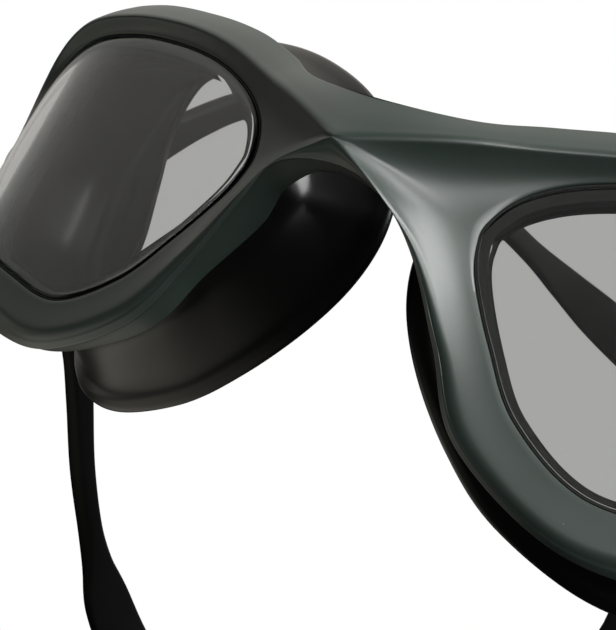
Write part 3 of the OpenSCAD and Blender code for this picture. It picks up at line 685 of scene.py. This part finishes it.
def grey(value):
    return (value, value, value)


def mouldedMaterial(name, m):  # moulded plastic or rubber: slow colour change, grain, scuffs and dust
    mat, tree, shader = newMaterial(name)
    grain = useGroup(tree, grainGroup, Size=m["grain"], Waviness=m["waviness"])
    colour = mixColour(tree, grain.outputs["Variation"], m["dark"], m["light"])
    scuffs = useGroup(tree, scuffGroup, Length=m["scuffLength"], Amount=m["scuffs"])
    colour = mixColour(tree, scuffs.outputs["Mask"], colour, m["scuffColour"])
    specks = useGroup(tree, speckGroup, Spacing=m["speckSpacing"], Radius=m["speckRadius"], Share=m["speckShare"])
    colour = mixColour(tree, specks.outputs["Mask"], colour, m["speckColour"])
    tree.links.new(colour, shader.inputs["Base Color"])
    rough = mathNode(tree, "ADD", mathNode(tree, "MULTIPLY", grain.outputs["Variation"], m["roughRange"]),
                     m["roughness"] - m["roughRange"] / 2)
    scuffRough = mathNode(tree, "MULTIPLY", scuffs.outputs["Mask"], 0.1)
    tree.links.new(mathNode(tree, "ADD", rough, scuffRough), shader.inputs["Roughness"])
    bump = tree.nodes.new("ShaderNodeBump")
    bump.inputs["Strength"].default_value = m["bump"]
    bump.inputs["Distance"].default_value = m["bumpDepth"] * mm
    tree.links.new(grain.outputs["Height"], bump.inputs["Height"])
    tree.links.new(bump.outputs["Normal"], shader.inputs["Normal"])
    shader.inputs["Specular IOR Level"].default_value = m["specular"]
    return mat


frameGreen = mouldedMaterial("softTouchGreen", {
    "dark": (0.019, 0.031, 0.025), "light": (0.025, 0.039, 0.032), "roughness": 0.42, "roughRange": 0.1,
    "specular": 1.0, "grain": 0.16, "waviness": 0.5, "bump": 0.25, "bumpDepth": 0.03,
    "scuffLength": 5, "scuffs": 0.1, "scuffColour": (0.12, 0.13, 0.12),
    "speckSpacing": 2.4, "speckRadius": 0.03, "speckShare": 0.1, "speckColour": (0.35, 0.36, 0.34)})
cupSilicone = mouldedMaterial("cupSilicone", {
    "dark": grey(0.001), "light": grey(0.002), "roughness": 0.3, "roughRange": 0.1,
    "specular": 0.5, "grain": 0.25, "waviness": 0.4, "bump": 0.12, "bumpDepth": 0.02,
    "scuffLength": 6, "scuffs": 0.04, "scuffColour": grey(0.05),
    "speckSpacing": 3, "speckRadius": 0.02, "speckShare": 0.05, "speckColour": grey(0.3)})
strapSilicone = mouldedMaterial("strapSilicone", {
    "dark": grey(0.0015), "light": grey(0.003), "roughness": 0.5, "roughRange": 0.08,
    "specular": 0.15, "grain": 0.2, "waviness": 0.4, "bump": 0.15, "bumpDepth": 0.02,
    "scuffLength": 8, "scuffs": 0.05, "scuffColour": grey(0.04),
    "speckSpacing": 3, "speckRadius": 0.02, "speckShare": 0.05, "speckColour": grey(0.3)})
sealRubber = mouldedMaterial("sealRubber", {
    "dark": grey(0.006), "light": grey(0.009), "roughness": 0.55, "roughRange": 0.05,
    "specular": 0.5, "grain": 0.15, "waviness": 0.2, "bump": 0.1, "bumpDepth": 0.01,
    "scuffLength": 4, "scuffs": 0.0, "scuffColour": grey(0.05),
    "speckSpacing": 1.2, "speckRadius": 0.05, "speckShare": 0.06, "speckColour": (0.3, 0.3, 0.28)})
retainerGrey = mouldedMaterial("retainerGrey", {
    "dark": (0.012, 0.012, 0.013), "light": (0.018, 0.018, 0.019), "roughness": 0.5, "roughRange": 0.08,
    "specular": 0.5, "grain": 0.12, "waviness": 0.3, "bump": 0.2, "bumpDepth": 0.02,
    "scuffLength": 4, "scuffs": 0.03, "scuffColour": grey(0.06),
    "speckSpacing": 2, "speckRadius": 0.03, "speckShare": 0.08, "speckColour": grey(0.3)})
clipBlack = mouldedMaterial("clipBlack", {
    "dark": (0.009, 0.009, 0.01), "light": (0.014, 0.014, 0.015), "roughness": 0.38, "roughRange": 0.1,
    "specular": 0.5, "grain": 0.14, "waviness": 0.3, "bump": 0.2, "bumpDepth": 0.02,
    "scuffLength": 4, "scuffs": 0.08, "scuffColour": grey(0.08),
    "speckSpacing": 2, "speckRadius": 0.03, "speckShare": 0.05, "speckColour": grey(0.3)})


turnedSteel = {"dark": (0.5, 0.5, 0.51), "light": (0.62, 0.62, 0.63), "grain": 0.3, "waviness": 0.2,
               "roughness": 0.28, "scuffLength": 2, "scuffs": 0.5, "scuffRough": 0.2}
smokeLens = {"tint": (0.397, 0.397, 0.385), "roughness": 0.015, "ior": 1.5,
             "speckSpacing": 3.2, "speckRadius": 0.022, "speckShare": 0.3, "speckColour": grey(0.2), "speckRough": 0.3}


def makeSteel(m):
    mat, tree, shader = newMaterial("turnedSteel")
    grain = useGroup(tree, grainGroup, Size=m["grain"], Waviness=m["waviness"])
    colour = mixColour(tree, grain.outputs["Variation"], m["dark"], m["light"])
    tree.links.new(colour, shader.inputs["Base Color"])
    shader.inputs["Metallic"].default_value = 1
    scuffs = useGroup(tree, scuffGroup, Length=m["scuffLength"], Amount=m["scuffs"])
    rough = mathNode(tree, "MULTIPLY", scuffs.outputs["Mask"], m["scuffRough"])
    tree.links.new(mathNode(tree, "ADD", rough, m["roughness"]), shader.inputs["Roughness"])
    return mat


def makeLensGlass(m):
    mat, tree, shader = newMaterial("smokeLens")
    specks = useGroup(tree, speckGroup, Spacing=m["speckSpacing"], Radius=m["speckRadius"], Share=m["speckShare"])
    tree.links.new(mixColour(tree, specks.outputs["Mask"], m["tint"], m["speckColour"]), shader.inputs["Base Color"])
    rough = mathNode(tree, "MULTIPLY", specks.outputs["Mask"], m["speckRough"])
    tree.links.new(mathNode(tree, "ADD", rough, m["roughness"]), shader.inputs["Roughness"])
    shader.inputs["Transmission Weight"].default_value = 1
    shader.inputs["IOR"].default_value = m["ior"]
    return mat


steel, lensGlass = makeSteel(turnedSteel), makeLensGlass(smokeLens)


def paint(obj, mat):
    obj.data.materials.clear()
    obj.data.materials.append(mat)


for obj in [frontShell] + ears:
    paint(obj, frameGreen)
for group, mat in ((lenses, lensGlass), (seals, sealRubber), (retainers, retainerGrey), (cups, cupSilicone),
                   ([headStrap], strapSilicone)):
    for obj in group:
        paint(obj, mat)
for side in ("left", "right"):
    for node, mat in (("pivot_stud", steel), ("stud_washer", steel), ("latch_pin", steel), ("strap_clip", clipBlack),
                      ("clip_latch", clipBlack)):
        paint(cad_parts[side + "_" + node], mat)
print("materials made")


# Each glowing patch below the object, which the object's reflections see as a painted reflection on a floor kept dark
# as painted shade: x, y, where it has faded out and where it is fully pale, from its middle in metres
stage = {"floorGap": 0.0005, "floorSize": 3.0, "floorColour": grey(0.8), "floorGlow": 0.75, "floorRough": 0.9,
         "glowPatches": ((-0.062, 0.022, 0.075, 0.02), (-0.22, 0.0, 0.09, 0.03)),
         "patchGlowColour": (0.7, 0.68, 0.6), "shadeBelowColour": grey(0.02), "fill": (0.24, 0.24, 0.25),
         "roomDark": (0.015, 0.015, 0.016), "roomPale": (0.74, 0.72, 0.67),
         "paleSide": (-0.5, 0.34, 0.8), "paleFrom": 0.42, "paleTo": 1}
white = grey(1.0)


def makeFloor():
    z = cadBox[0][2] - stage["floorGap"]
    s = stage["floorSize"]
    floor = makeMesh("floor", [(-s, -s, z), (s, -s, z), (s, s, z), (-s, s, z)], [(0, 1, 2, 3)])
    mat, tree, shader = newMaterial("floorWhite")
    coords = tree.nodes.new("ShaderNodeTexCoord")
    pale = 0.0  # the object's reflections and bounce light see two pale glowing patches below it (painted reflection) on a dark floor (painted shade)
    for x, y, rim, middle in stage["glowPatches"]:
        away = tree.nodes.new("ShaderNodeVectorMath")
        away.operation = "DISTANCE"
        tree.links.new(coords.outputs["Object"], away.inputs[0])
        away.inputs[1].default_value = (x, y, z)
        patchFade = tree.nodes.new("ShaderNodeMapRange")
        patchFade.inputs["From Min"].default_value, patchFade.inputs["From Max"].default_value = rim, middle
        tree.links.new(away.outputs["Value"], patchFade.inputs["Value"])
        pale = mathNode(tree, "MAXIMUM", patchFade.outputs["Result"], pale)
    # painted reflection and painted shade: pale patches on a dark floor, seen only by the object's rays, never by the
    # camera
    below = mixColour(tree, pale, stage["shadeBelowColour"], stage["patchGlowColour"])
    shader.inputs["Roughness"].default_value = stage["floorRough"]
    glow = tree.nodes.new("ShaderNodeEmission")
    path = tree.nodes.new("ShaderNodeLightPath")
    seen = mathNode(tree, "MAXIMUM", path.outputs["Is Camera Ray"], path.outputs["Is Transmission Ray"])
    tree.links.new(mixColour(tree, seen, below, stage["floorColour"]), shader.inputs["Base Color"])
    lit = tree.nodes.new("ShaderNodeMixShader")
    # the pale patches glow in the object's reflections: painted reflection
    glowing = mathNode(tree, "MAXIMUM", seen, path.outputs["Is Glossy Ray"])
    tree.links.new(mathNode(tree, "MULTIPLY", glowing, stage["floorGlow"]), lit.inputs["Fac"])
    tree.links.new(mixColour(tree, seen, below, white), glow.inputs["Color"])
    tree.links.new(shader.outputs["BSDF"], lit.inputs[1])
    tree.links.new(glow.outputs["Emission"], lit.inputs[2])
    # The floor can't be seen from below
    clear = tree.nodes.new("ShaderNodeBsdfTransparent")
    geometry = tree.nodes.new("ShaderNodeNewGeometry")
    oneSided = tree.nodes.new("ShaderNodeMixShader")
    tree.links.new(geometry.outputs["Backfacing"], oneSided.inputs["Fac"])
    tree.links.new(lit.outputs["Shader"], oneSided.inputs[1])
    tree.links.new(clear.outputs["BSDF"], oneSided.inputs[2])
    tree.links.new(oneSided.outputs["Shader"], tree.nodes["Material Output"].inputs["Surface"])
    paint(floor, mat)


def makeWorld():  # a white backdrop on one side of a dim room
    world = bpy.data.worlds.new("studio")
    bpy.context.scene.world = world
    world.use_nodes = True
    tree = world.node_tree
    coords = tree.nodes.new("ShaderNodeTexCoord")
    towards = tree.nodes.new("ShaderNodeVectorMath")
    towards.operation = "DOT_PRODUCT"
    tree.links.new(coords.outputs["Generated"], towards.inputs[0])
    towards.inputs[1].default_value = stage["paleSide"]
    pale = tree.nodes.new("ShaderNodeMapRange")
    pale.interpolation_type = "SMOOTHSTEP"
    pale.inputs["From Min"].default_value = stage["paleFrom"]
    pale.inputs["From Max"].default_value = stage["paleTo"]
    tree.links.new(towards.outputs["Value"], pale.inputs["Value"])
    room = mixColour(tree, pale.outputs["Result"], stage["roomDark"], stage["roomPale"])
    path = tree.nodes.new("ShaderNodeLightPath")
    seen = mathNode(tree, "MAXIMUM", path.outputs["Is Camera Ray"], path.outputs["Is Transmission Ray"])
    lit = mixColour(tree, path.outputs["Is Glossy Ray"], stage["fill"], room)
    tree.links.new(mixColour(tree, seen, lit, white), tree.nodes["Background"].inputs["Color"])


def makeLamp(name, lamp):
    data = bpy.data.lights.new(name, "AREA")
    data.shape, data.size, data.size_y = "RECTANGLE", lamp["width"], lamp["height"]
    data.energy, data.color = lamp["power"], lamp["colour"]
    obj = bpy.data.objects.new(name, data)
    back = Vector(lamp["place"]).normalized()
    across = Vector(lamp["up"]).cross(back).normalized()
    turned = Matrix((across, back.cross(across), back)).transposed().to_4x4()
    obj.matrix_world = Matrix.Translation(lamp["place"]) @ turned
    obj.visible_camera = obj.visible_transmission = False
    bpy.context.scene.collection.objects.link(obj)


makeFloor()
makeWorld()
makeLamp("keyLamp", {"place": (0.365, -0.032, 0.476), "up": (-0.286, -0.423, 0.86),
                     "width": 0.6, "height": 0.36, "power": 5.7, "colour": white})
makeLamp("frontLamp", {"place": (0.523, -0.385, 0.024), "up": (-0.009, 0.057, 0.819),
                       "width": 0.2, "height": 0.42, "power": 4.2, "colour": white})
bpy.context.scene.view_settings.view_transform = "Standard"
print("stage made")
